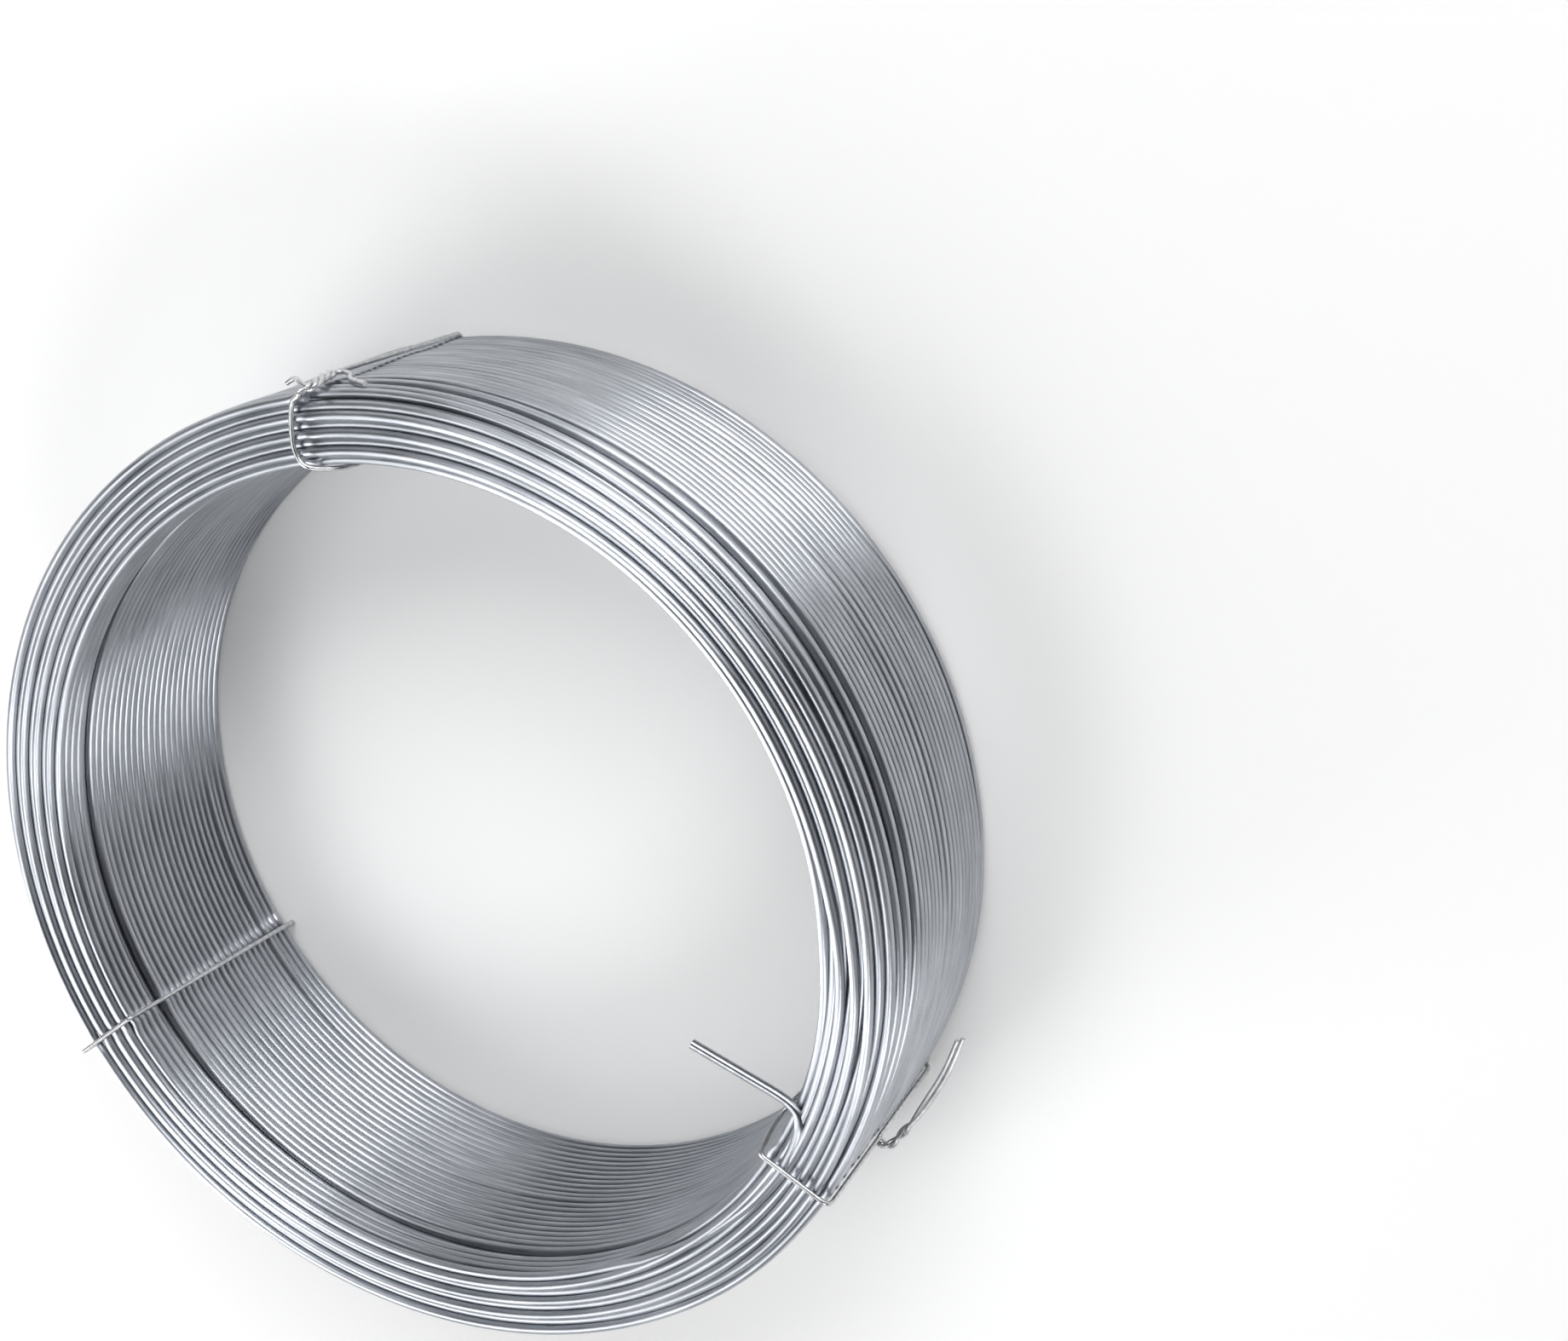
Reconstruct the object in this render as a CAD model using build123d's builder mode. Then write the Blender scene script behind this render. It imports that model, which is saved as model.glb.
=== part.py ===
from build123d import *

import math
import os

# Coil of drawn steel wire, wound in layers, lying on its end on three tie wires.
# Frame: the Z axis is the axis of the winding, z = 0 is the floor under the lower runs
# of the ties, and +X points along the free inner end of the wire.

# Driving dimensions of the winding, in millimetres
wire_diameter = 2.5
bore_diameter = 220.0
layers = 8
turns_per_layer = 28

# Driving dimensions of the free inner end
free_end_tip_radius = 81.0
free_end_bend_radius = 7.0
free_end_lead_angle = 6.0
free_end_drop = 2.1
free_end_root_depth = 0.4
free_end_chamfer = 0.4

# Driving dimensions of the tie wires and their knots
tie_diameter = 1.25
tie_clearance = 0.15
strand_gap = 0.1
quarter_twist_length = 1.5
bend_lead = 1.6
largest_knot_bend = 3.0

# Place of each tie round the coil, the height of its knot and the length of its cut ends
tie_1_angle = 121.5
tie_1_knot_height = 51.5
tie_1_twist_quarters = 5
tie_1_tail_length = 7.5

tie_2_angle = -128.5
tie_2_knot_height = 30.0
tie_2_twist_quarters = 3
tie_2_tail_length = 6.0

tie_3_angle = -8.5
tie_3_knot_height = 39.0
tie_3_rise_quarters = 4
tie_3_tail_length = 35.0
tie_3_tail_lean = 0.07

# Sizes that follow from the driving ones
wire_radius = wire_diameter / 2
layer_step = wire_diameter * math.sqrt(3) / 2
nest_lift = wire_diameter / 2
bore_radius = bore_diameter / 2
outer_radius = bore_radius + wire_diameter + (layers - 1) * layer_step
coil_bottom = tie_diameter + tie_clearance
coil_top = coil_bottom + turns_per_layer * wire_diameter + nest_lift

tie_radius = tie_diameter / 2
tie_offset = tie_radius + tie_clearance
tie_corner_radius = wire_radius + tie_offset
tail_half_spacing = (tie_diameter + strand_gap) / 2
twist_radius = tail_half_spacing / math.cos(math.radians(45))

# How far each crest runs from its middle before the next wire hides it, in degrees
wall_reach = 60.0
proud_reach = 90.0
nested_reach = math.degrees(math.asin(math.sqrt(3) - 1))

# Share of a run that the bend at its end may use
bend_share = 0.45


def wire_center(layer, turn):
    """Centre of one wire in the section: odd layers nest half a wire higher."""
    lift = nest_lift if layer % 2 else 0.0
    return Vector(
        bore_radius + wire_radius + layer * layer_step,
        coil_bottom + wire_radius + turn * wire_diameter + lift,
    )


def end_reach(layer, facing_up):
    """Reach of a crest on an end of the coil, where every other layer stands proud."""
    return proud_reach if (layer % 2 == 1) == facing_up else nested_reach


def section_crests():
    """Centre, first angle and last angle of each crest, once round the section."""
    last_layer = layers - 1
    last_turn = turns_per_layer - 1
    crests = []
    for turn in range(turns_per_layer):
        start = 270 - end_reach(last_layer, False) if turn == 0 else 360 - wall_reach
        end = 450 + end_reach(last_layer, True) if turn == last_turn else 360 + wall_reach
        crests.append((wire_center(last_layer, turn), start, end))
    for layer in range(last_layer - 1, 0, -1):
        reach = end_reach(layer, True)
        crests.append((wire_center(layer, last_turn), 90 - reach, 90 + reach))
    for turn in range(last_turn, -1, -1):
        start = 90 - end_reach(0, True) if turn == last_turn else 180 - wall_reach
        end = 270 + end_reach(0, False) if turn == 0 else 180 + wall_reach
        crests.append((wire_center(0, turn), start, end))
    for layer in range(1, last_layer):
        reach = end_reach(layer, False)
        crests.append((wire_center(layer, 0), 270 - reach, 270 + reach))
    return crests


def on_rim(center, degrees):
    """Point on the rim of a wire whose centre is given, in the plane of the section."""
    return center + Vector(wire_radius, 0).rotate(Axis.Z, degrees)


# The winding: one turned solid whose section is edged with the crests of its wires
with BuildPart() as wire_coil:
    with BuildSketch(Plane.XZ) as winding_section:
        with BuildLine():
            crests = section_crests()
            first_point = on_rim(crests[0][0], crests[0][1])
            previous = None
            for center, start, end in crests:
                arc = ThreePointArc(
                    on_rim(center, start),
                    on_rim(center, (start + end) / 2),
                    on_rim(center, end),
                )
                if previous is not None:
                    Line(previous, arc @ 0)
                previous = arc @ 1
            Line(previous, first_point)
        make_face()
    revolve(axis=Axis.Z)

    # The free inner end leaves the wall of the bore and bends in towards the axis
    root = Vector(bore_radius + wire_radius + free_end_root_depth, 0)
    root = root.rotate(Axis.Z, -free_end_lead_angle)
    with BuildLine(Plane.XY.offset(coil_top - free_end_drop)) as free_end:
        FilletPolyline(
            (root.X, root.Y),
            (bore_radius, 0),
            (free_end_tip_radius, 0),
            radius=free_end_bend_radius,
        )
    with BuildSketch(Plane(origin=free_end.line @ 0, z_dir=free_end.line % 0)):
        Circle(wire_radius)
    sweep(path=free_end.line)
    cut_edge = wire_coil.edges().filter_by(GeomType.CIRCLE).sort_by_distance(free_end.line @ 1)[0]
    chamfer(cut_edge, length=free_end_chamfer)

# Directions in the plane of a tie: away from the axis, up, and round the coil
OUT = Vector(1, 0, 0)
UP = Vector(0, 1, 0)
ROUND = Vector(0, 0, -1)


def twisted_run(start, along, first, second, quarters, side):
    """Points of one strand that turns by quarters from one direction to the other.

    The last point follows a straight lead, which leaves room for the bend after it.
    """
    points = []
    for quarter in range(1, quarters + 1):
        turn = math.radians(90 * quarter)
        apart = (first * math.cos(turn) + second * math.sin(turn)) * side * twist_radius
        points.append(start + along * quarter_twist_length * quarter + apart)
    points.append(points[-1] + along * bend_lead)
    return points, apart


def knot_strand(side, base, rise_quarters, twist_quarters, tail_length, tail_lean):
    """Points of one of the two strands of a knot, from the wall of the coil to its cut end.

    The strands twist round each other as they rise from the wall, bend over, twist on up
    the wall for any further quarter turns, and end in tails that run round the coil.
    """
    points = [base + UP * side * twist_radius]
    rise, apart = twisted_run(base, OUT, UP, ROUND, rise_quarters, side)
    points += rise
    if twist_quarters:
        start = points[-1] - apart + UP * bend_lead
        points.append(start + apart)
        climb, apart = twisted_run(start, UP, ROUND, OUT, twist_quarters, side)
        points += climb
    center = points[-1] - apart
    tip = center + ROUND * tail_length - OUT * tail_lean * tail_length
    points.append(tip + apart.normalized() * tail_half_spacing)
    return points


def bend_radii(points):
    """Largest neat bend at each inner point of a route."""
    radii = []
    for before, here, after in zip(points, points[1:], points[2:]):
        shorter = min((here - before).length, (after - here).length)
        half_turn = math.radians((here - before).get_angle(after - here)) / 2
        radii.append(min(bend_share * shorter / math.tan(half_turn), largest_knot_bend))
    return radii


def tie_wire(angle, knot_height, rise_quarters, twist_quarters, tail_length, tail_lean):
    """One tie: a wire bent round the section of the coil, its two ends twisted together."""
    outer_run = outer_radius + tie_offset
    inner_run = bore_radius - tie_offset
    upper_run = coil_top + tie_offset
    lower_run = coil_bottom - tie_offset
    base = Vector(outer_run, knot_height, 0)
    knot = (base, rise_quarters, twist_quarters, tail_length, tail_lean)
    upper_strand = knot_strand(1, *knot)
    lower_strand = knot_strand(-1, *knot)
    corners = [
        Vector(outer_run, upper_run, 0),
        Vector(inner_run, upper_run, 0),
        Vector(inner_run, lower_run, 0),
        Vector(outer_run, lower_run, 0),
    ]
    points = upper_strand[::-1] + corners + lower_strand
    radii = bend_radii(points)
    first_corner = len(upper_strand) - 1
    for corner in range(first_corner, first_corner + len(corners)):
        radii[corner] = tie_corner_radius
    out = Vector(1, 0, 0).rotate(Axis.Z, angle)
    tie_plane = Plane(origin=(0, 0, 0), x_dir=out, z_dir=out.cross(Vector(0, 0, 1)))
    with BuildPart() as tie:
        with BuildLine(tie_plane) as route:
            FilletPolyline(*[tuple(point) for point in points], radius=radii)
        with BuildSketch(Plane(origin=route.line @ 0, z_dir=route.line % 0)):
            Circle(tie_radius)
        sweep(path=route.line)
    wire_length = route.wire().length
    wire_volume = math.pi * tie_radius**2 * wire_length
    print(f"tie at {angle}: {wire_length:.1f} mm of wire, tightest bend {min(radii):.2f} mm")
    print(f"volume {tie.part.volume:.1f}, its section times its length {wire_volume:.1f}")
    return tie


tie_wire_1 = tie_wire(
    tie_1_angle, tie_1_knot_height, 1, tie_1_twist_quarters, tie_1_tail_length, 0.0
)
tie_wire_2 = tie_wire(
    tie_2_angle, tie_2_knot_height, 1, tie_2_twist_quarters, tie_2_tail_length, 0.0
)
tie_wire_3 = tie_wire(
    tie_3_angle, tie_3_knot_height, tie_3_rise_quarters, 0, tie_3_tail_length, tie_3_tail_lean
)

pieces = {
    "wire_coil": wire_coil,
    "tie_wire_1": tie_wire_1,
    "tie_wire_2": tie_wire_2,
    "tie_wire_3": tie_wire_3,
}
os.makedirs("parts", exist_ok=True)
for name, piece in pieces.items():
    piece.part.label = name
    export_step(piece.part, f"parts/{name}.step")
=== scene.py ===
"""Dresses the coil of galvanised wire: its wound layers, its three ties and the studio round it."""

import logging
import math
from dataclasses import dataclass, field
from enum import Enum

import bpy
import numpy as np
from mathutils import Matrix


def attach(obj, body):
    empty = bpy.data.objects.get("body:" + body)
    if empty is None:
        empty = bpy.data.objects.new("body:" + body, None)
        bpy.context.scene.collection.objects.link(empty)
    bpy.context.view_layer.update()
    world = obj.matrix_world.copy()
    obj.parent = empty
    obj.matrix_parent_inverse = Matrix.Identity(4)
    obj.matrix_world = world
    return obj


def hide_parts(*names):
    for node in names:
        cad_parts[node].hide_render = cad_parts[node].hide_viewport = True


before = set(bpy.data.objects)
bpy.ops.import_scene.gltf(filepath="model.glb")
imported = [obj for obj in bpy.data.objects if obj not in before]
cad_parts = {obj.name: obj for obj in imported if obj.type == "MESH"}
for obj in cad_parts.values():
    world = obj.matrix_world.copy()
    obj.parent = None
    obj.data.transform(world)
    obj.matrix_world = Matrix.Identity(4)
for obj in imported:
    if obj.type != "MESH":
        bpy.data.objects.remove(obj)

log = logging.getLogger("coil")

MM = 0.001
FULL_TURN = 2 * math.pi

# Largest share of a straight run that the bend at its end may use
BEND_SHARE = 0.48


def polar(radius: float, degrees: float, height: float) -> np.ndarray:
    """Point at a radius, an angle round the axis and a height."""
    angle = math.radians(degrees)
    return np.array([radius * math.cos(angle), radius * math.sin(angle), height])


def smooth_step(value: np.ndarray) -> np.ndarray:
    """Eases from 0 to 1 as the value goes from 0 to 1."""
    eased = np.clip(value, 0.0, 1.0)
    return eased * eased * (3 - 2 * eased)


def spline_through(points: list[np.ndarray], steps: int) -> np.ndarray:
    """Smooth path through a list of points.

    Args:
        points: The points to pass through, at least two.
        steps: Number of straight pieces between one point and the next.

    Returns:
        An array of points along the path.
    """
    given = np.array([2 * points[0] - points[1], *points, 2 * points[-1] - points[-2]])
    share = np.linspace(0, 1, steps, endpoint=False)[:, None]
    path = []
    for before, start, end, after in zip(given, given[1:], given[2:], given[3:]):
        path.append(
            0.5
            * (
                2 * start
                + (end - before) * share
                + (2 * before - 5 * start + 4 * end - after) * share**2
                + (3 * start - before - 3 * end + after) * share**3
            )
        )
    path.append(given[-2][None])
    return np.concatenate(path)


def rounded_path(points: list[np.ndarray], radius: float, steps: int = 7) -> np.ndarray:
    """Path of straight runs whose corners are rounded.

    Args:
        points: Corners of the path.
        radius: How far each bend reaches along its two runs.
        steps: Number of points in each bend.

    Returns:
        An array of points along the path.
    """
    path = [points[0][None]]
    share = np.linspace(0, 1, steps)[:, None]
    for before, here, after in zip(points, points[1:], points[2:]):
        back, ahead = before - here, after - here
        shorter = min(np.linalg.norm(back), np.linalg.norm(ahead))
        reach = min(radius, BEND_SHARE * shorter)
        start = here + back / np.linalg.norm(back) * reach
        end = here + ahead / np.linalg.norm(ahead) * reach
        path.append(start * (1 - share) ** 2 + here * 2 * share * (1 - share) + end * share**2)
    path.append(points[-1][None])
    return np.concatenate(path)


class Travel(Enum):
    """Which way the turns of a layer are laid along the axis."""

    DOWN = -1
    UP = 1


class WireSweep:
    """Geometry Nodes tree that sweeps a round section along a line of points."""

    def __init__(self) -> None:
        """Builds the tree with its named inputs."""
        tree = bpy.data.node_groups.new("wire_sweep", "GeometryNodeTree")
        face = tree.interface
        face.new_socket("Line", in_out="INPUT", socket_type="NodeSocketGeometry")
        self.radius = face.new_socket("Wire radius", in_out="INPUT", socket_type="NodeSocketFloat")
        self.sides = face.new_socket("Sides", in_out="INPUT", socket_type="NodeSocketInt")
        self.finish = face.new_socket("Finish", in_out="INPUT", socket_type="NodeSocketMaterial")
        face.new_socket("Wire", in_out="OUTPUT", socket_type="NodeSocketGeometry")
        nodes, links = tree.nodes, tree.links
        inputs = nodes.new("NodeGroupInput")
        outputs = nodes.new("NodeGroupOutput")
        line = nodes.new("GeometryNodeMeshToCurve")
        section = nodes.new("GeometryNodeCurvePrimitiveCircle")
        sweep = nodes.new("GeometryNodeCurveToMesh")
        sweep.inputs["Fill Caps"].default_value = True
        shade = nodes.new("GeometryNodeSetShadeSmooth")
        realize = nodes.new("GeometryNodeRealizeInstances")
        paint = nodes.new("GeometryNodeSetMaterial")
        links.new(inputs.outputs["Line"], line.inputs["Mesh"])
        links.new(inputs.outputs["Wire radius"], section.inputs["Radius"])
        links.new(inputs.outputs["Sides"], section.inputs["Resolution"])
        links.new(line.outputs["Curve"], sweep.inputs["Curve"])
        links.new(section.outputs["Curve"], sweep.inputs["Profile Curve"])
        links.new(sweep.outputs["Mesh"], shade.inputs["Geometry"])
        links.new(shade.outputs["Geometry"], realize.inputs["Geometry"])
        links.new(realize.outputs["Geometry"], paint.inputs["Geometry"])
        links.new(inputs.outputs["Finish"], paint.inputs["Material"])
        links.new(paint.outputs["Geometry"], outputs.inputs["Wire"])
        self.tree = tree

    def make(
        self,
        name: str,
        strands: list[np.ndarray],
        radius: float,
        sides: int,
        finish: bpy.types.Material,
    ) -> bpy.types.Object:
        """Sweeps one or more strands of wire into one plain mesh.

        Args:
            name: Name of the piece.
            strands: The points along the middle of each strand.
            radius: Radius of the wire.
            sides: Number of sides of the round section.
            finish: Material of the wire.

        Returns:
            The finished object, with no modifier left on it.
        """
        points = np.concatenate(strands)
        edges, start = [], 0
        for strand in strands:
            edges += [(start + step, start + step + 1) for step in range(len(strand) - 1)]
            start += len(strand)
        line = bpy.data.meshes.new(name + "_line")
        line.from_pydata(points.tolist(), edges, [])
        piece = bpy.data.objects.new(name, line)
        bpy.context.scene.collection.objects.link(piece)
        modifier = piece.modifiers.new("sweep", "NODES")
        modifier.node_group = self.tree
        modifier[self.radius.identifier] = radius
        modifier[self.sides.identifier] = sides
        modifier[self.finish.identifier] = finish
        seen = piece.evaluated_get(bpy.context.evaluated_depsgraph_get())
        mesh = bpy.data.meshes.new_from_object(seen)
        piece.modifiers.clear()
        piece.data = mesh
        mesh.name = name
        bpy.data.meshes.remove(line)
        return piece


@dataclass(frozen=True)
class LooseTurn:
    """One turn that lies a little out of its row over part of the way round.

    The turn of the layer that is nearest to the height is moved between the start and the
    end, which are degrees round the axis: inward towards the axis, and lifted along it.
    """

    layer: int
    height: float
    start: float
    end: float
    inward: float = 0.0
    lift: float = 0.0


@dataclass
class Winding:
    """The one long wire of the coil, wound in layers between its two ends.

    Layers are counted from the bore outwards. The rows of home hold the radius and height
    at which each turn is laid, in the order of laying, and the rows of places hold where
    it comes to lie at each station round the axis. Rows, waves and bands are counts, and
    lengths given as rows are multiples of the wire's diameter.
    """

    # Sizes of the winding
    wire_diameter: float = 2.5 * MM
    bore_radius: float = 110.0 * MM
    bottom: float = 1.4 * MM
    layers: int = 8
    turns: int = 28
    outer_turns: int = 23
    outer_end_angle: float = 119.5
    free_end_joins: float = -43.0

    # Gaps in the layers that show: above a height in the bore, and from the front down outside
    inner_gaps: tuple[tuple[float, float], ...] = ((57.9 * MM, 1.9 * MM), (66.5 * MM, 0.7 * MM))
    outer_gaps: tuple[float, ...] = (1.52, 1.84, 2.4, 2.04, 1.04, 1.08, 1.2, 1.08, 1.12, 1.08)

    # Where a turn crosses to the next one, as shares of a turn
    crossing_width: float = 0.30
    crossing_drift: float = 0.006
    largest_drift: float = 0.08

    # Uneven lie of the turns
    seed: int = 11
    sway: float = 0.28 * MM
    sway_waves: int = 5
    most_bands: int = 4
    inner_looseness: float = 0.55
    looseness: float = 0.8
    outer_looseness: float = 1.5
    end_sway: float = 0.85 * MM
    end_waves: int = 4
    end_sizes: tuple[float, float] = (0.4, 1.0)
    swaying_rows: float = 1.4

    # How the turns settle on one another
    settling_rounds: int = 140
    last_rounds: int = 30
    pull: float = 0.010 * MM
    push_share: float = 0.28
    closest: float = 0.995
    neighbour_reach: float = 1.45
    rounds_to_a_search: int = 60
    smooth_rounds_at_end: int = 6
    quick_divisor: int = 3
    least_distance: float = 1e-6

    # Small bends of the turns under the ties, whose width and offsets are in degrees
    tie_angles: tuple[float, ...] = ()
    inner_rise: float = 0.50 * MM
    outer_rise: float = 0.40 * MM
    end_dip: float = 0.34 * MM
    bend_width: float = 1.05
    bent_rows: float = 1.6
    bend_offsets: tuple[float, ...] = (-2.9, -1.7, -1.2, -0.8, -0.4, 0, 0.4, 0.8, 1.2, 1.7, 2.9)

    # How finely the wire is swept
    stations: int = 180
    coarse_step: int = 2
    rim_rows: float = 2.6
    sides_in_sight: int = 12
    sides_inside: int = 10
    free_end_steps: int = 6

    loose_turns: tuple[LooseTurn, ...] = (
        LooseTurn(0, 57.2 * MM, -185, -75, inward=0.9 * MM),
        LooseTurn(0, 60.4 * MM, -160, -80, lift=0.6 * MM),
        LooseTurn(0, 55.2 * MM, -115, -40, inward=0.5 * MM),
        LooseTurn(0, 10.1 * MM, -180, -84, inward=0.8 * MM),
        LooseTurn(0, 68.5 * MM, -175, -130, inward=0.6 * MM),
        LooseTurn(0, 68.5 * MM, -110, -45, inward=0.6 * MM),
        LooseTurn(0, 32.7 * MM, -100, -30, inward=0.5 * MM),
        LooseTurn(1, 70.6 * MM, -66, 4, inward=1.7 * MM, lift=-0.7 * MM),
        LooseTurn(7, 5.0 * MM, 10, 140, lift=1.2 * MM),
    )
    wire_radius: float = field(init=False)
    top: float = field(init=False)
    angles: np.ndarray = field(init=False)
    layer_of: np.ndarray = field(init=False)
    home: np.ndarray = field(init=False)
    places: np.ndarray = field(init=False)

    def __post_init__(self) -> None:
        """Lays the turns, lets them settle, moves the loose ones and lets them settle again."""
        self.wire_radius = self.wire_diameter / 2
        self.top = self.bottom + (self.turns + 0.5) * self.wire_diameter
        self.angles = -FULL_TURN * np.arange(self.stations) / self.stations
        self.lay_turns()
        self.settle(self.settling_rounds, self.pull)
        self.add_loose_turns()
        self.settle(self.last_rounds, 0.0)

    def travel(self, layer: int) -> Travel:
        """The layers are laid down and up in turn, from the free inner end at the top."""
        return Travel.UP if layer % 2 else Travel.DOWN

    def layer_heights(self, layer: int) -> np.ndarray:
        """Heights of the turns of one layer, in the order in which they are laid.

        Args:
            layer: Index of the layer.

        Returns:
            One height for each turn.
        """
        if layer == self.layers - 1:
            lowest, highest = self.bottom + self.wire_radius, self.top - self.wire_radius
            front = highest - np.cumsum((0, *self.outer_gaps)) * self.wire_diameter
            rest = np.linspace(front[-1], lowest, self.outer_turns - len(self.outer_gaps))[1:]
            heights = np.concatenate([front, rest])[::-1]
        elif layer == 0:
            heights = self.bottom + self.wire_radius
            heights = heights + np.arange(self.turns - 1) * self.wire_diameter
            for above, width in self.inner_gaps:
                heights = heights + np.where(heights > above, width, 0.0)
        else:
            nested = self.wire_radius if layer % 2 else 0.0
            heights = self.bottom + self.wire_radius + nested
            heights = heights + np.arange(self.turns) * self.wire_diameter
        return heights if self.travel(layer) is Travel.UP else heights[::-1]

    def lay_turns(self) -> None:
        """Sets each turn in its place, with its crossing to the next one and its sway."""
        layer_step = self.wire_diameter * math.sqrt(3) / 2
        heights = [self.layer_heights(layer) for layer in range(self.layers)]
        self.layer_of = np.repeat(np.arange(self.layers), [len(rows) for rows in heights])
        radius = self.bore_radius + self.wire_radius + self.layer_of * layer_step
        self.home = np.stack([radius, np.concatenate(heights)], axis=1)
        share = np.arange(self.stations) / self.stations
        before = np.concatenate([self.home[:1], self.home[:-1]])
        after = np.concatenate([self.home[1:], self.home[-1:]])
        rng = np.random.default_rng(self.seed)
        count = len(self.home)
        drift = np.cumsum(rng.normal(0, self.crossing_drift, count + 1))
        drift = drift - np.linspace(0, drift[-1], count + 1)
        drift = np.clip(drift, -self.largest_drift, self.largest_drift)
        entered = smooth_step((share[None] - drift[:-1, None]) / self.crossing_width + 0.5)
        left = smooth_step((share[None] - 1 - drift[1:, None]) / self.crossing_width + 0.5)
        places = (
            self.home[:, None]
            + (before - self.home)[:, None] * (1 - entered)[..., None]
            + (after - self.home)[:, None] * left[..., None]
        )
        places[..., 1] += self.layer_sway(rng, places)
        places += self.end_turn_sway(rng, share)
        self.places = places.astype(np.float32)

    def layer_sway(self, rng: np.random.Generator, places: np.ndarray) -> np.ndarray:
        """Slow sway of the turns of each layer along the axis, shared by neighbours.

        Args:
            rng: Source of the random waves.
            places: Radius and height of each turn at each station.

        Returns:
            How far each turn is moved along the axis at each station.
        """
        along = (places[..., 1] - self.bottom) / (self.top - self.bottom)
        sway = np.zeros(along.shape)
        for layer in range(self.layers):
            rows = self.layer_of == layer
            at_walls = {0: self.inner_looseness, self.layers - 1: self.outer_looseness}
            looseness = at_walls.get(layer, self.looseness)
            for waves in range(1, self.sway_waves + 1):
                bands = rng.integers(1, self.most_bands + 1)
                phase = rng.uniform(0, FULL_TURN)
                size = self.sway * looseness / math.sqrt(waves)
                sway[rows] += size * np.sin(
                    waves * self.angles + bands * FULL_TURN * along[rows] + phase
                )
        return sway * np.sin(np.pi * np.clip(along, 0, 1)) ** 0.5

    def end_turn_sway(self, rng: np.random.Generator, share: np.ndarray) -> np.ndarray:
        """Uneven lie of the first and last turns of each layer, which show on the two ends.

        Args:
            rng: Source of the random waves.
            share: How far round the turn each station lies, from 0 to 1.

        Returns:
            How far each turn is moved in radius and height at each station.
        """
        sway = np.zeros((len(self.home), self.stations, 2))
        fade = np.sin(np.pi * share) ** 0.5
        near_end = np.minimum(
            np.abs(self.home[:, 1] - self.bottom), np.abs(self.home[:, 1] - self.top)
        )
        for row in np.flatnonzero(near_end < self.swaying_rows * self.wire_diameter):
            for waves in range(1, self.end_waves + 1):
                phases = rng.uniform(0, FULL_TURN, 2)
                size = self.end_sway * rng.uniform(*self.end_sizes, 2) / (1 + waves)
                sway[row] += fade[:, None] * size * np.sin(
                    waves * self.angles[:, None] + phases
                )
        return sway

    def neighbour_pairs(self) -> np.ndarray:
        """Pairs of turns that come near one another anywhere round the coil.

        Returns:
            One row for each pair, with the indices of its two turns.
        """
        pairs = []
        for row in range(len(self.places) - 1):
            apart = self.places[row + 1 :] - self.places[row]
            nearest = np.sqrt((apart**2).sum(-1)).min(1)
            near = row + 1 + np.flatnonzero(nearest < self.neighbour_reach * self.wire_diameter)
            pairs += [(row, other) for other in near]
        return np.array(pairs)

    def settle(self, rounds: int, pull: float) -> None:
        """Pushes overlapping turns apart while the pull of the wire draws them inwards.

        Args:
            rounds: How many small moves each turn makes.
            pull: How far the first of them draws a turn inwards.
        """
        rounds = rounds
        lowest, highest = self.bottom + self.wire_radius, self.top - self.wire_radius
        for step in range(rounds):
            if step % self.rounds_to_a_search == 0:
                pairs = self.neighbour_pairs()
                meets = np.zeros((len(self.places), len(pairs)), dtype=np.float32)
                meets[pairs[:, 0], np.arange(len(pairs))] = -1
                meets[pairs[:, 1], np.arange(len(pairs))] = 1
            apart = self.places[pairs[:, 1]] - self.places[pairs[:, 0]]
            distance = np.maximum(np.sqrt((apart**2).sum(-1)), self.least_distance)
            overlap = np.maximum(self.wire_diameter * self.closest - distance, 0)
            push = apart * (self.push_share * overlap / distance)[..., None]
            shift = (meets @ push.reshape(len(pairs), -1)).reshape(self.places.shape)
            self.places += shift
            self.places[..., 0] -= pull * (1 - step / rounds)
            if pull:
                self.places[..., 0] = np.maximum(
                    self.places[..., 0], self.bore_radius + self.wire_radius
                )
            self.places[..., 1] = np.clip(self.places[..., 1], lowest, highest)
            if step % 2 == 0 or step > rounds - self.smooth_rounds_at_end:
                self.places = self.smoothed(self.places)

    def smoothed(self, places: np.ndarray) -> np.ndarray:
        """Evens out the places along the wire, as a stiff wire does.

        Args:
            places: Radius and height of each turn at each station.

        Returns:
            The same places, each drawn halfway to the mean of the two beside it.
        """
        line = places.reshape(-1, 2)
        inner = 0.25 * line[:-2] + 0.5 * line[1:-1] + 0.25 * line[2:]
        return np.concatenate([line[:1], inner, line[-1:]]).reshape(places.shape)

    def add_loose_turns(self) -> None:
        """Moves single turns out of their row where the coil has gaps and proud turns."""
        degrees = np.degrees(self.angles)
        for loose in self.loose_turns:
            middle = (loose.start + loose.end) / 2
            around = (degrees - middle + 180) % 360 - 180
            reach = (loose.end - loose.start) / 2
            share = np.where(np.abs(around) < reach, np.cos(np.pi / 2 * around / reach) ** 2, 0)
            rows = np.flatnonzero(self.layer_of == loose.layer)
            station = int(np.argmin(np.abs(around)))
            row = rows[np.argmin(np.abs(self.places[rows, station, 1] - loose.height))]
            self.places[row, :, 0] -= loose.inward * share
            self.places[row, :, 1] += loose.lift * share

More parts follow.
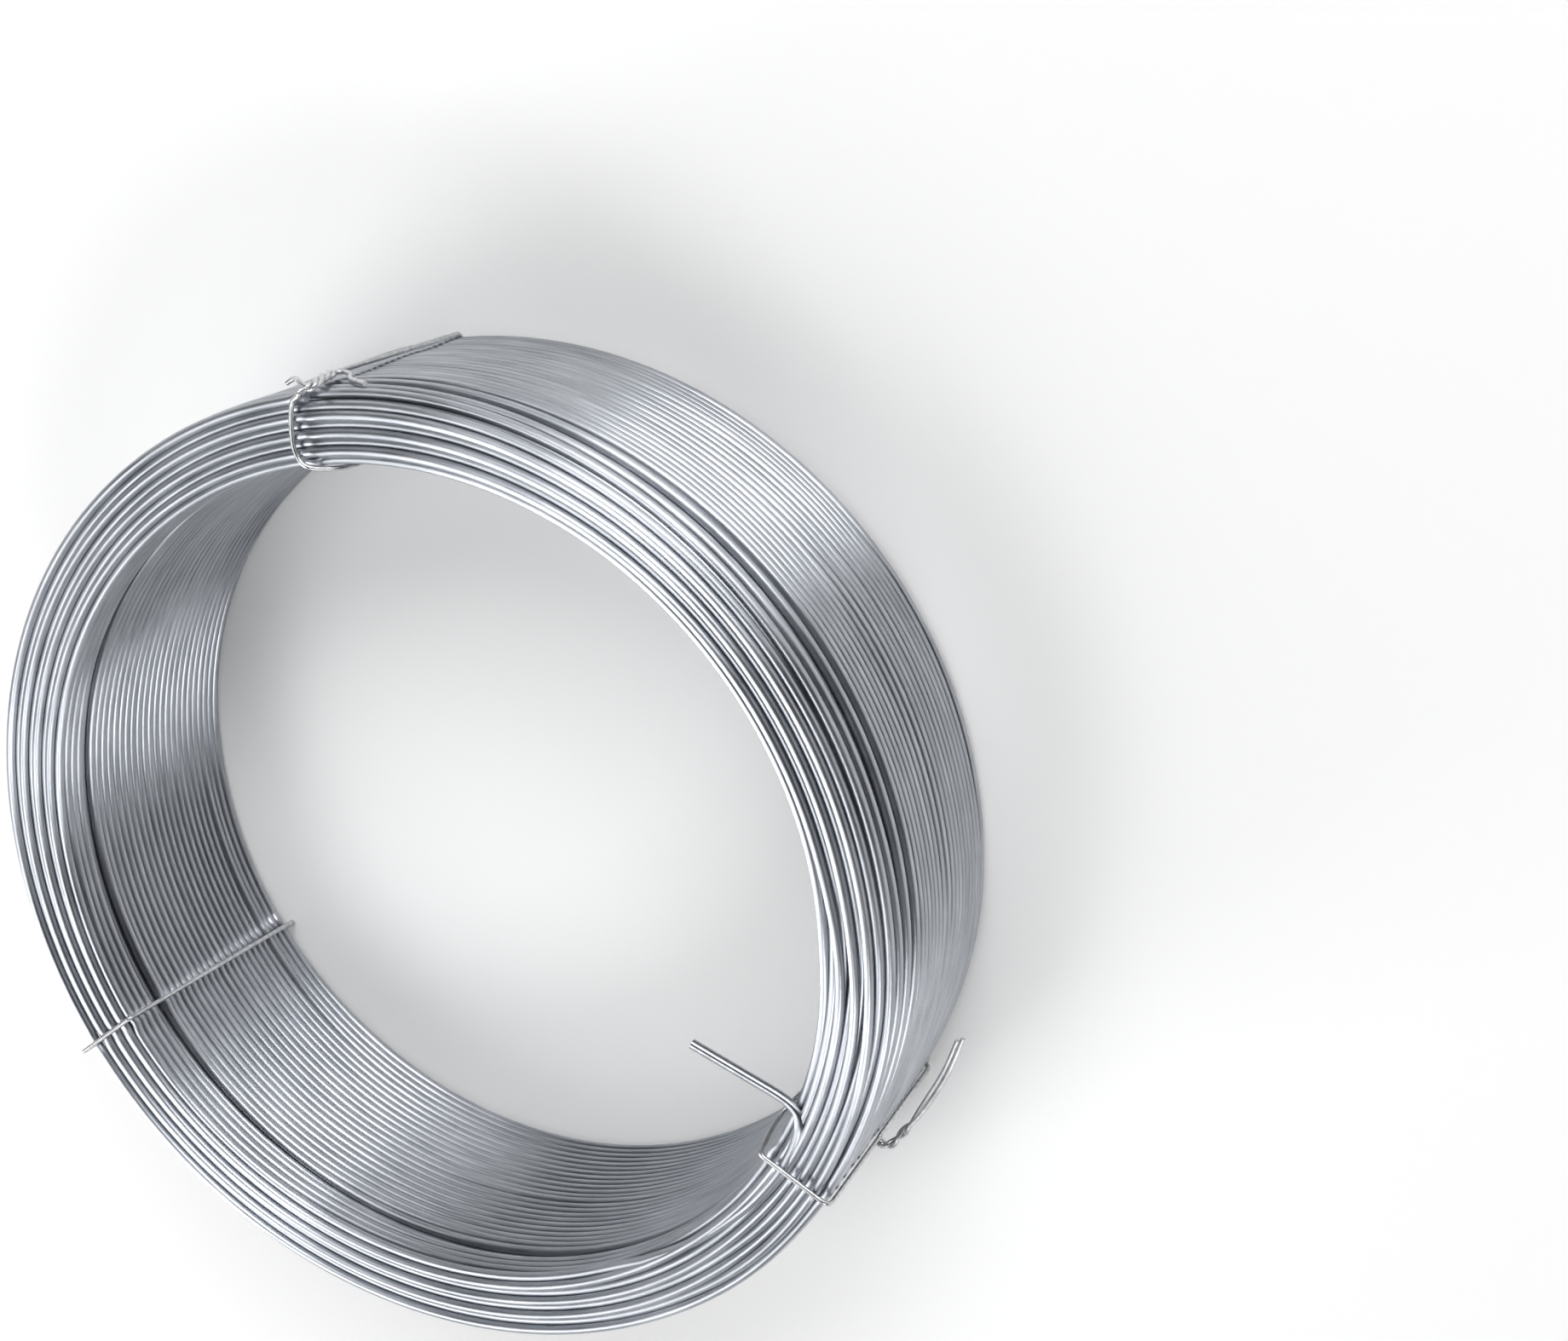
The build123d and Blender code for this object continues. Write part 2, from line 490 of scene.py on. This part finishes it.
    def bent_at_ties(self, rows: np.ndarray, degrees: np.ndarray) -> np.ndarray:
        """Places of some turns, which bend a little where a tie crosses them.

        Args:
            rows: The turns, in the order in which they are laid.
            degrees: Angles from 0 down to more than -360.

        Returns:
            Radius and height of each turn at each angle.
        """
        known = -np.degrees(np.append(self.angles, -FULL_TURN))
        after = self.places[np.minimum(rows + 1, len(self.places) - 1), :1]
        whole = np.concatenate([self.places[rows], after], axis=1)
        near = np.zeros(len(degrees))
        for tie in self.tie_angles:
            around = (degrees - tie + 180) % 360 - 180
            near += np.exp(-((around / self.bend_width) ** 2))
        places = np.stack(
            [[np.interp(-degrees, known, turn[:, axis]) for axis in (0, 1)] for turn in whole]
        ).transpose(0, 2, 1)
        layers = self.layer_of[rows]
        places[layers == self.layers - 1, :, 0] += near * self.outer_rise
        places[layers == 0, :, 0] -= near * self.inner_rise
        middle = (self.bottom + self.top) / 2
        for side in (-1, 1):
            from_middle = side * (self.home[rows, 1] - middle)
            ends = from_middle > self.top - middle - self.bent_rows * self.wire_diameter
            places[ends, :, 1] -= side * near * self.end_dip
        return places

    def outline_at(self, degrees: float) -> tuple[float, float, float, float]:
        """How far the wires reach at one angle.

        Args:
            degrees: Angle round the axis.

        Returns:
            The smallest and largest radius, and the lowest and highest height.
        """
        rows = np.arange(len(self.places) - 1)
        places = self.bent_at_ties(rows, np.array([-(-degrees % 360)]))[:, 0]
        low, high = places.min(0) - self.wire_radius, places.max(0) + self.wire_radius
        return low[0], high[0], low[1], high[1]

    def free_inner_end(self) -> np.ndarray:
        """Path of the free end, from its tip over the bore to the first turn.

        Returns:
            An array of points along the path.
        """
        rim = self.bore_radius + self.wire_radius
        shape = [
            polar(81.0 * MM, 1.0, self.top - 1.5 * MM),
            polar(95.0 * MM, 0.55, self.top - 1.75 * MM),
            polar(106.0 * MM, 0.2, self.top - 2.0 * MM),
            polar(110.6 * MM, -0.4, self.top - 1.9 * MM),
            polar(112.5 * MM, -1.4, self.top - 1.7 * MM),
            polar(113.8 * MM, -3.2, self.top - 1.4 * MM),
            polar(114.5 * MM, -6.5, self.top - 1.25 * MM),
            polar(114.6 * MM, -11.0, self.top - 1.25 * MM),
            polar(113.9 * MM, -18.0, self.top - 1.25 * MM),
            polar(112.5 * MM, -28.0, self.top - 1.4 * MM),
            polar(rim + 0.1 * MM, -38.0, self.top - 1.9 * MM),
        ]
        return spline_through(shape, self.free_end_steps)[:-1]

    def line(self, layer: int, fine: bool) -> np.ndarray:
        """Points along the wire of one layer.

        Args:
            layer: Index of the layer, from the bore outwards.
            fine: Whether all its turns are in sight, so that each has all its stations.

        Returns:
            An array of points, which ends where the next layer starts.
        """
        rows = np.flatnonzero(self.layer_of == layer)
        middle = (self.bottom + self.top) / 2
        inside = (self.top - middle) - self.rim_rows * self.wire_diameter
        near_ties = [
            -(-(tie + offset) % 360) for tie in self.tie_angles for offset in self.bend_offsets
        ]
        close = np.unique(np.concatenate([np.degrees(self.angles), near_ties]))[::-1]
        coarse = np.degrees(self.angles[:: self.coarse_step])
        path = []
        for row in rows:
            hidden = not fine and abs(self.home[row, 1] - middle) < inside
            degrees = coarse if hidden else close
            if row + 1 == len(self.places):
                degrees = degrees[degrees > self.outer_end_angle - 360]
            radius, height = self.bent_at_ties(np.array([row]), degrees)[0].T
            angle = np.radians(degrees)
            path.append(np.stack([radius * np.cos(angle), radius * np.sin(angle), height], 1))
        if rows[-1] + 1 < len(self.places):
            radius, height = self.places[rows[-1] + 1, 0]
            path.append(np.array([[radius, 0.0, height]]))
        if layer == 0:
            path[0] = np.concatenate([self.free_inner_end(), path[0][close < self.free_end_joins]])
        return np.concatenate(path)

    def build(self, sweep: WireSweep, finish: bpy.types.Material) -> list[bpy.types.Object]:
        """Sweeps each layer into a piece of its own.

        Args:
            sweep: The tree that sweeps wires.
            finish: Material of the wire.

        Returns:
            One object for each layer.
        """
        pieces = []
        for layer in range(self.layers):
            in_sight = layer in (0, self.layers - 1)
            piece = sweep.make(
                f"winding_layer_{layer + 1}",
                [self.line(layer, fine=in_sight)],
                self.wire_radius,
                self.sides_in_sight if in_sight else self.sides_inside,
                finish,
            )
            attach(piece, "root")
            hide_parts("wire_coil")
            pieces.append(piece)
        return pieces


@dataclass
class TieWire:
    """One binding wire, bent round the section of the coil and twisted shut.

    Points are given as a radius, degrees round the axis and a height. The front list holds
    the radius and degrees of the run over the front end, and the slack list a loose stretch
    at the inner corner. A spliced tie is twisted in line, so that one of its two strands
    comes in at each end of the twist. The two reaches say how far a corner stands off.
    """

    name: str
    node: str
    outer_angle: float
    front_angle: float
    back_angle: float
    knot_height: float
    twist: list[tuple[float, float, float]]
    tails: list[list[tuple[float, float, float]]]
    front: list[tuple[float, float]] = field(default_factory=list)
    slack: list[tuple[float, float, float]] = field(default_factory=list)
    spliced: bool = False
    front_reach: float = 0.0
    back_reach: float = 0.0
    twist_turns: float = 2.5
    diameter: float = 1.25 * MM
    clearance: float = 0.05 * MM
    bend: float = 2.6 * MM
    sides: int = 12
    entry_spread: float = 0.6
    strand_spread: float = 0.52
    twist_steps: int = 14
    tail_steps: int = 6

    def loop(self, winding: Winding) -> tuple[np.ndarray, np.ndarray, np.ndarray]:
        """Path of the tie round the section, from the knot over the front and back to it.

        Args:
            winding: The winding that the tie holds.

        Returns:
            The path, and the two points where it enters the twist.
        """
        inner, outer, low, high = winding.outline_at(self.front_angle)
        offset = self.diameter / 2 + self.clearance
        floor = self.diameter / 2
        over = self.front or [
            (outer + offset + self.front_reach, self.outer_angle),
            (inner - offset, self.front_angle),
        ]
        corners = [
            *[polar(*point, high + offset) for point in over],
            *[polar(*point) for point in self.slack],
            polar(inner - offset - self.back_reach, self.back_angle, floor),
            polar(outer + offset, self.back_angle, floor),
        ]
        share = self.knot_height / high
        knot_angle = self.back_angle + (self.outer_angle - self.back_angle) * share
        apart = self.diameter * self.entry_spread
        above = polar(outer + offset, knot_angle, self.knot_height + apart)
        below = polar(outer + offset, knot_angle, self.knot_height - apart)
        if self.spliced:
            above, below = polar(*self.twist[0]), polar(*self.twist[-1])
        path = rounded_path([above, *corners, below], self.bend)
        return path, above, below

    def twisted(self, above: np.ndarray, below: np.ndarray) -> list[np.ndarray]:
        """The two strands of the knot, each from the wall of the coil to its cut end.

        Args:
            above: Where the strand from the front comes in.
            below: Where the strand from the back comes in.

        Returns:
            The path of each strand.
        """
        axis = spline_through([polar(*point) for point in self.twist], self.twist_steps)
        along = np.gradient(axis, axis=0)
        along /= np.linalg.norm(along, axis=1)[:, None]
        out = axis * np.array([1, 1, 0])
        out /= np.linalg.norm(out, axis=1)[:, None]
        side = np.cross(along, out)
        side /= np.linalg.norm(side, axis=1)[:, None]
        cross = np.cross(side, along)
        turn = np.linspace(0, self.twist_turns * FULL_TURN, len(axis))[:, None]
        apart = (side * np.cos(turn) + cross * np.sin(turn)) * self.diameter * self.strand_spread
        strands = []
        for start, sign, tail in zip((above, below), (1, -1), self.tails):
            knot = axis + sign * apart
            if self.spliced:
                knot = knot if sign > 0 else knot[: self.twist_steps - 1 : -1]
            else:
                other = axis - sign * apart
                if np.linalg.norm(knot[0] - start) > np.linalg.norm(other[0] - start):
                    knot = other
            end = [polar(*point) for point in tail]
            tail_path = spline_through([knot[-3], knot[-1], *end], self.tail_steps)
            strands.append(np.concatenate([[start], knot[2:-1], tail_path[self.tail_steps :]]))
        return strands

    def build(
        self, winding: Winding, sweep: WireSweep, finish: bpy.types.Material
    ) -> bpy.types.Object:
        """Sweeps the whole tie as one wire.

        Args:
            winding: The winding that the tie holds.
            sweep: The tree that sweeps wires.
            finish: Material of the tie.

        Returns:
            The finished object.
        """
        path, above, below = self.loop(winding)
        first, second = self.twisted(above, below)
        whole = np.concatenate([first[:0:-1], path, second[1:]])
        piece = sweep.make(self.name, [whole], self.diameter / 2, self.sides, finish)
        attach(piece, "root")
        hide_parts(self.node)
        return piece


class NodeChain:
    """Short ways to add and join shader nodes."""

    def __init__(self, tree: bpy.types.NodeTree) -> None:
        """Keeps the tree that the nodes go into."""
        self.tree = tree

    def add(self, kind: str, **settings: object) -> bpy.types.Node:
        """Adds one node and sets its properties.

        Args:
            kind: Type of the node.
            settings: Values of its properties, by name.

        Returns:
            The new node.
        """
        node = self.tree.nodes.new(kind)
        for name, value in settings.items():
            setattr(node, name, value)
        return node

    def join(self, start: bpy.types.NodeSocket, end: bpy.types.NodeSocket) -> None:
        """Joins an output to an input."""
        self.tree.links.new(start, end)

    def math(self, operation: str, *values: object) -> bpy.types.NodeSocket:
        """Adds a Math node.

        Args:
            operation: Name of the operation.
            values: Numbers or outputs, one for each input.

        Returns:
            The output of the node.
        """
        node = self.add("ShaderNodeMath", operation=operation)
        for place, value in enumerate(values):
            if isinstance(value, (int, float)):
                node.inputs[place].default_value = value
            else:
                self.join(value, node.inputs[place])
        return node.outputs[0]


def drawn_streaks_group() -> bpy.types.NodeTree:
    """Shader group for marks that run along the rings of the coil.

    Returns:
        The group, with the outputs Streaks and Patches, both from 0 to 1.
    """
    tree = bpy.data.node_groups.new("drawn_streaks", "ShaderNodeTree")
    face = tree.interface
    for name, value in (("Across", 900.0), ("Round", 9.0), ("Patch size", 35.0)):
        socket = face.new_socket(name, in_out="INPUT", socket_type="NodeSocketFloat")
        socket.default_value = value
    face.new_socket("Streaks", in_out="OUTPUT", socket_type="NodeSocketFloat")
    face.new_socket("Patches", in_out="OUTPUT", socket_type="NodeSocketFloat")
    chain = NodeChain(tree)
    given = chain.add("NodeGroupInput")
    result = chain.add("NodeGroupOutput")
    place = chain.add("ShaderNodeTexCoord")
    split = chain.add("ShaderNodeSeparateXYZ")
    chain.join(place.outputs["Object"], split.inputs[0])
    x, y, z = split.outputs
    radius = chain.math(
        "SQRT", chain.math("ADD", chain.math("MULTIPLY", x, x), chain.math("MULTIPLY", y, y))
    )
    around = chain.add("ShaderNodeCombineXYZ")
    for place_index, value in enumerate((x, y)):
        turned = chain.math("MULTIPLY", chain.math("DIVIDE", value, radius), given.outputs["Round"])
        chain.join(turned, around.inputs[place_index])
    chain.join(chain.math("MULTIPLY", radius, given.outputs["Across"]), around.inputs[2])
    streaks = chain.add("ShaderNodeTexNoise", noise_dimensions="4D")
    streaks.inputs["Scale"].default_value = 1.0
    streaks.inputs["Detail"].default_value = 3.0
    chain.join(around.outputs[0], streaks.inputs["Vector"])
    chain.join(chain.math("MULTIPLY", z, given.outputs["Across"]), streaks.inputs["W"])
    patches = chain.add("ShaderNodeTexNoise")
    patches.inputs["Detail"].default_value = 4.0
    chain.join(place.outputs["Object"], patches.inputs["Vector"])
    chain.join(given.outputs["Patch size"], patches.inputs["Scale"])
    chain.join(streaks.outputs[0], result.inputs["Streaks"])
    chain.join(patches.outputs[0], result.inputs["Patches"])
    return tree


@dataclass(frozen=True)
class ZincFinish:
    """Zinc-coated wire: a grey metal with streaks along it and dull patches.

    The tone runs from dark to light and the roughness from its first to its second value.
    The streaks are counted by the metre across the wire, and by the turn round the coil.
    """

    name: str
    dark: tuple[float, float, float]
    light: tuple[float, float, float]
    roughness: tuple[float, float]
    anisotropy: float
    bump: float
    across: float
    round: float
    streak_share: float = 0.65
    tone_span: tuple[float, float] = (0.32, 0.68)
    patch_span: tuple[float, float] = (0.3, 0.7)
    bump_depth: float = 0.05 * MM
    grain_turn: float = 0.25

    def build(self, streaks: bpy.types.NodeTree) -> bpy.types.Material:
        """Builds the material.

        Args:
            streaks: The shared group for the marks along the rings.

        Returns:
            The finished material.
        """
        material = bpy.data.materials.new(self.name)
        material.use_nodes = True
        chain = NodeChain(material.node_tree)
        shader = material.node_tree.nodes["Principled BSDF"]
        shader.inputs["Metallic"].default_value = 1.0
        shader.inputs["Anisotropic"].default_value = self.anisotropy
        shader.inputs["Anisotropic Rotation"].default_value = self.grain_turn
        marks = chain.add("ShaderNodeGroup", node_tree=streaks)
        marks.inputs["Across"].default_value = self.across
        marks.inputs["Round"].default_value = self.round
        tone = chain.add("ShaderNodeValToRGB")
        stops = tone.color_ramp.elements
        for stop, position, colour in zip(stops, self.tone_span, (self.dark, self.light)):
            stop.position = position
            stop.color = (*colour, 1)
        mixed = chain.math(
            "ADD",
            chain.math("MULTIPLY", marks.outputs["Streaks"], self.streak_share),
            chain.math("MULTIPLY", marks.outputs["Patches"], 1 - self.streak_share),
        )
        chain.join(mixed, tone.inputs[0])
        chain.join(tone.outputs[0], shader.inputs["Base Color"])
        rough = chain.add("ShaderNodeMapRange")
        spans = (*self.patch_span, *self.roughness)
        for name, value in zip(("From Min", "From Max", "To Min", "To Max"), spans):
            rough.inputs[name].default_value = value
        chain.join(marks.outputs["Patches"], rough.inputs["Value"])
        chain.join(rough.outputs[0], shader.inputs["Roughness"])
        bump = chain.add("ShaderNodeBump")
        bump.inputs["Strength"].default_value = self.bump
        bump.inputs["Distance"].default_value = self.bump_depth
        chain.join(marks.outputs["Streaks"], bump.inputs["Height"])
        chain.join(bump.outputs[0], shader.inputs["Normal"])
        return material


WINDING_FINISH = ZincFinish(
    name="galvanised_wire",
    dark=(0.32, 0.34, 0.37),
    light=(0.56, 0.58, 0.62),
    roughness=(0.28, 0.38),
    anisotropy=0.75,
    bump=0.12,
    across=700.0,
    round=7.0,
)

TIE_FINISH = ZincFinish(
    name="tie_wire",
    dark=(0.42, 0.42, 0.43),
    light=(0.74, 0.75, 0.76),
    roughness=(0.22, 0.34),
    anisotropy=0.0,
    bump=0.2,
    across=900.0,
    round=60.0,
)

TIES = (
    TieWire(
        name="tie_wire_top",
        node="tie_wire_1",
        outer_angle=121.0,
        front_angle=121.6,
        back_angle=119.5,
        spliced=True,
        front=[
            (126.5 * MM, 121.0),
            (122.5 * MM, 121.7),
            (118.0 * MM, 122.2),
            (114.7 * MM, 122.4),
            (112.0 * MM, 122.0),
            (110.3 * MM, 121.2),
        ],
        slack=[
            (109.2 * MM, 119.9, 71.4 * MM),
            (108.6 * MM, 118.2, 69.0 * MM),
            (108.6 * MM, 116.6, 65.5 * MM),
            (108.9 * MM, 116.2, 58.0 * MM),
            (109.2 * MM, 117.8, 36.0 * MM),
        ],
        knot_height=60.0 * MM,
        twist=[
            (127.4 * MM, 119.8, 73.9 * MM),
            (128.9 * MM, 118.6, 73.2 * MM),
            (129.7 * MM, 118.3, 70.6 * MM),
            (129.7 * MM, 119.5, 63.5 * MM),
            (129.6 * MM, 120.2, 57.5 * MM),
        ],
        tails=[
            [
                (129.4 * MM, 119.6, 55.4 * MM),
                (129.0 * MM, 118.0, 57.5 * MM),
                (128.8 * MM, 116.3, 63.0 * MM),
                (128.6 * MM, 113.3, 67.3 * MM),
            ],
            [
                (130.4 * MM, 119.6, 72.8 * MM),
                (131.1 * MM, 120.3, 71.6 * MM),
                (131.1 * MM, 121.1, 70.8 * MM),
                (130.3 * MM, 122.0, 70.5 * MM),
            ],
        ],
    ),
    TieWire(
        name="tie_wire_left",
        node="tie_wire_2",
        outer_angle=-127.9,
        front_angle=-129.4,
        back_angle=-127.2,
        front_reach=2.9 * MM,
        back_reach=1.2 * MM,
        bend=1.5 * MM,
        knot_height=30.0 * MM,
        twist_turns=1.5,
        twist=[
            (129.3 * MM, -128.2, 30.0 * MM),
            (130.4 * MM, -128.2, 31.5 * MM),
            (130.5 * MM, -128.3, 36.0 * MM),
        ],
        tails=[
            [(130.6 * MM, -127.6, 38.0 * MM), (130.8 * MM, -126.0, 38.8 * MM)],
            [(130.4 * MM, -129.2, 37.6 * MM), (130.6 * MM, -130.6, 38.2 * MM)],
        ],
    ),
    TieWire(
        name="tie_wire_right",
        node="tie_wire_3",
        outer_angle=-8.6,
        front_angle=-8.5,
        back_angle=-8.5,
        slack=[
            (107.9 * MM, -7.2, 71.4 * MM),
            (107.4 * MM, -4.8, 69.4 * MM),
            (107.9 * MM, -2.0, 66.8 * MM),
            (108.9 * MM, -0.9, 62.0 * MM),
            (109.2 * MM, -3.0, 36.0 * MM),
        ],
        knot_height=39.0 * MM,
        twist_turns=1.5,
        twist=[
            (129.2 * MM, -8.6, 39.0 * MM),
            (131.0 * MM, -9.0, 39.2 * MM),
            (132.9 * MM, -8.4, 39.0 * MM),
            (133.6 * MM, -6.8, 38.5 * MM),
            (134.2 * MM, -5.2, 38.2 * MM),
        ],
        tails=[
            [
                (135.6 * MM, -2.0, 38.2 * MM),
                (137.1 * MM, 3.0, 38.0 * MM),
                (137.9 * MM, 7.6, 37.6 * MM),
            ],
            [
                (134.5 * MM, -2.0, 38.5 * MM),
                (135.9 * MM, 3.0, 38.3 * MM),
                (136.7 * MM, 7.2, 37.9 * MM),
            ],
        ],
    ),
)


@dataclass(frozen=True)
class SoftLamp:
    """One soft rectangular lamp that faces the coil.

    The azimuth and elevation give the direction from the coil to the lamp in degrees, and
    the tilt is the turn of its sides about its own axis. The power is in watts.
    """

    name: str
    azimuth: float
    elevation: float
    width: float
    length: float
    power: float
    tilt: float = 0.0
    distance: float = 1.6
    aim_height: float = 0.036

    def build(self) -> None:
        """Sets the lamp in its place, turned to the middle of the coil."""
        light = bpy.data.lights.new(self.name, "AREA")
        light.shape = "RECTANGLE"
        light.size = self.width
        light.size_y = self.length
        light.energy = self.power
        lamp = bpy.data.objects.new(self.name, light)
        bpy.context.scene.collection.objects.link(lamp)
        level, up = math.radians(self.azimuth), math.radians(self.elevation)
        back = np.array(
            [math.cos(up) * math.cos(level), math.cos(up) * math.sin(level), math.sin(up)]
        )
        right = np.array([-math.sin(level), math.cos(level), 0.0])
        above = np.cross(back, right)
        angle = math.radians(self.tilt)
        first = right * math.cos(angle) + above * math.sin(angle)
        second = np.cross(back, first)
        spot = back * self.distance + np.array([0, 0, self.aim_height])
        columns = np.stack([first, second, back], 1)
        lamp.matrix_world = Matrix(
            [(*columns[index], spot[index]) for index in range(3)] + [(0, 0, 0, 1)]
        )


@dataclass
class Studio:
    """Pale floor, soft lamps and the camera.

    The floor's rings are a radius and a height each. Its glow is the distance at which it
    starts to rise, the distance at which it is full, and its strength at the two.
    """

    floor_colour: tuple[float, float, float] = (0.92, 0.92, 0.92)
    floor_roughness: float = 0.9
    floor_specular: float = 0.1
    floor_sides: int = 96
    floor_rings: tuple[tuple[float, float], ...] = (
        (4.4, 0.0),
        (5.0, 0.06),
        (5.4, 0.25),
        (5.6, 0.6),
        (5.7, 2.2),
    )
    floor_glow: tuple[float, float, float, float] = (0.45, 2.4, 0.08, 0.8)
    world_colour: tuple[float, float, float] = (0.95, 0.97, 1.0)
    world_strength: float = 0.02
    lamps: tuple[SoftLamp, ...] = (
        SoftLamp("key_lamp", 98, 40, 0.55, 0.8, 6.5),
        SoftLamp("wide_lamp", 100, 42, 2.0, 0.8, 9.5, tilt=22),
        SoftLamp("low_lamp", 74, 28, 0.5, 0.5, 3.2),
        SoftLamp("back_lamp", 240, 40, 0.6, 1.9, 8),
        SoftLamp("back_low_lamp", 240, 14, 0.6, 0.45, 6.6),
        SoftLamp("back_high_lamp", 232, 66, 0.9, 0.6, 4.6),
        SoftLamp("side_lamp", 326, 46, 0.6, 0.5, 6),
        SoftLamp("fill_lamp", 266, 48, 0.6, 0.6, 2.2),
    )
    camera_place: tuple[float, float, float] = (0.18455, 0.32955, 0.50564)
    camera_right: tuple[float, float, float] = (0.86454, 0.31447, -0.39202)
    camera_up: tuple[float, float, float] = (-0.44768, 0.83636, -0.31638)
    camera_ahead: tuple[float, float, float] = (-0.22838, -0.44902, -0.86384)
    lens: float = 51.66
    sensor_width: float = 36.0
    nearest_view: float = 0.01

    def build_floor(self) -> None:
        """Lays the round floor under the coil, whose far rim rises as a low backdrop."""
        mesh = bpy.data.meshes.new("floor")
        sides = self.floor_sides
        corners = [
            tuple(polar(radius, 360 * side / sides, height))
            for radius, height in self.floor_rings
            for side in range(sides)
        ]
        faces = [tuple(range(sides))]
        for ring in range(len(self.floor_rings) - 1):
            for side in range(sides):
                here, beside = ring * sides + side, ring * sides + (side + 1) % sides
                faces.append((here + sides, beside + sides, beside, here))
        mesh.from_pydata(corners, [], faces)
        floor = bpy.data.objects.new("floor", mesh)
        bpy.context.scene.collection.objects.link(floor)
        material = bpy.data.materials.new("floor")
        material.use_nodes = True
        shader = material.node_tree.nodes["Principled BSDF"]
        shader.inputs["Base Color"].default_value = (*self.floor_colour, 1)
        shader.inputs["Roughness"].default_value = self.floor_roughness
        shader.inputs["Specular IOR Level"].default_value = self.floor_specular
        shader.inputs["Emission Color"].default_value = (1, 1, 1, 1)
        chain = NodeChain(material.node_tree)
        place = chain.add("ShaderNodeTexCoord")
        far = chain.add("ShaderNodeVectorMath", operation="LENGTH")
        chain.join(place.outputs["Object"], far.inputs[0])
        glow = chain.add("ShaderNodeMapRange", interpolation_type="SMOOTHSTEP")
        for name, value in zip(("From Min", "From Max", "To Min", "To Max"), self.floor_glow):
            glow.inputs[name].default_value = value
        chain.join(far.outputs["Value"], glow.inputs["Value"])
        path = chain.add("ShaderNodeLightPath")
        rays = chain.math(
            "MAXIMUM", path.outputs["Is Glossy Ray"], path.outputs["Is Transmission Ray"]
        )
        seen = chain.math("MAXIMUM", path.outputs["Is Camera Ray"], rays)
        strength = chain.math("MULTIPLY", seen, glow.outputs["Result"])
        chain.join(strength, shader.inputs["Emission Strength"])
        mesh.materials.append(material)

    def build_world(self) -> None:
        """Fills the room with plain even light."""
        world = bpy.data.worlds.new("room")
        world.use_nodes = True
        backdrop = world.node_tree.nodes["Background"]
        backdrop.inputs["Color"].default_value = (*self.world_colour, 1)
        backdrop.inputs["Strength"].default_value = self.world_strength
        bpy.context.scene.world = world

    def build_camera(self) -> None:
        """Sets the camera at the viewing angle of the photograph."""
        data = bpy.data.cameras.new("camera")
        data.sensor_width = self.sensor_width
        data.sensor_fit = "HORIZONTAL"
        data.lens = self.lens
        data.clip_start = self.nearest_view
        camera = bpy.data.objects.new("camera", data)
        bpy.context.scene.collection.objects.link(camera)
        columns = np.stack([self.camera_right, self.camera_up, np.negative(self.camera_ahead)], 1)
        camera.matrix_world = Matrix(
            [(*columns[index], self.camera_place[index]) for index in range(3)] + [(0, 0, 0, 1)]
        )
        bpy.context.scene.camera = camera

    def build(self) -> None:
        """Builds the whole studio."""
        bpy.context.scene.view_settings.view_transform = "Standard"
        self.build_floor()
        self.build_world()
        for lamp in self.lamps:
            lamp.build()
        self.build_camera()


def main() -> None:
    """Builds the winding, the ties and the studio, and writes down how big they came out."""
    logging.basicConfig(level=logging.INFO, format="%(message)s")
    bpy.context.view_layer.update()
    streaks = drawn_streaks_group()
    sweep = WireSweep()
    tie_angles = tuple((tie.front_angle + tie.back_angle) / 2 for tie in TIES)
    winding = Winding(tie_angles=tie_angles)
    pieces = winding.build(sweep, WINDING_FINISH.build(streaks))
    tie_finish = TIE_FINISH.build(streaks)
    pieces += [tie.build(winding, sweep, tie_finish) for tie in TIES]
    for piece in pieces:
        triangles = sum(len(face.vertices) - 2 for face in piece.data.polygons)
        log.info("%s: %d triangles", piece.name, triangles)
    Studio().build()


if __name__ == "__main__":
    main()
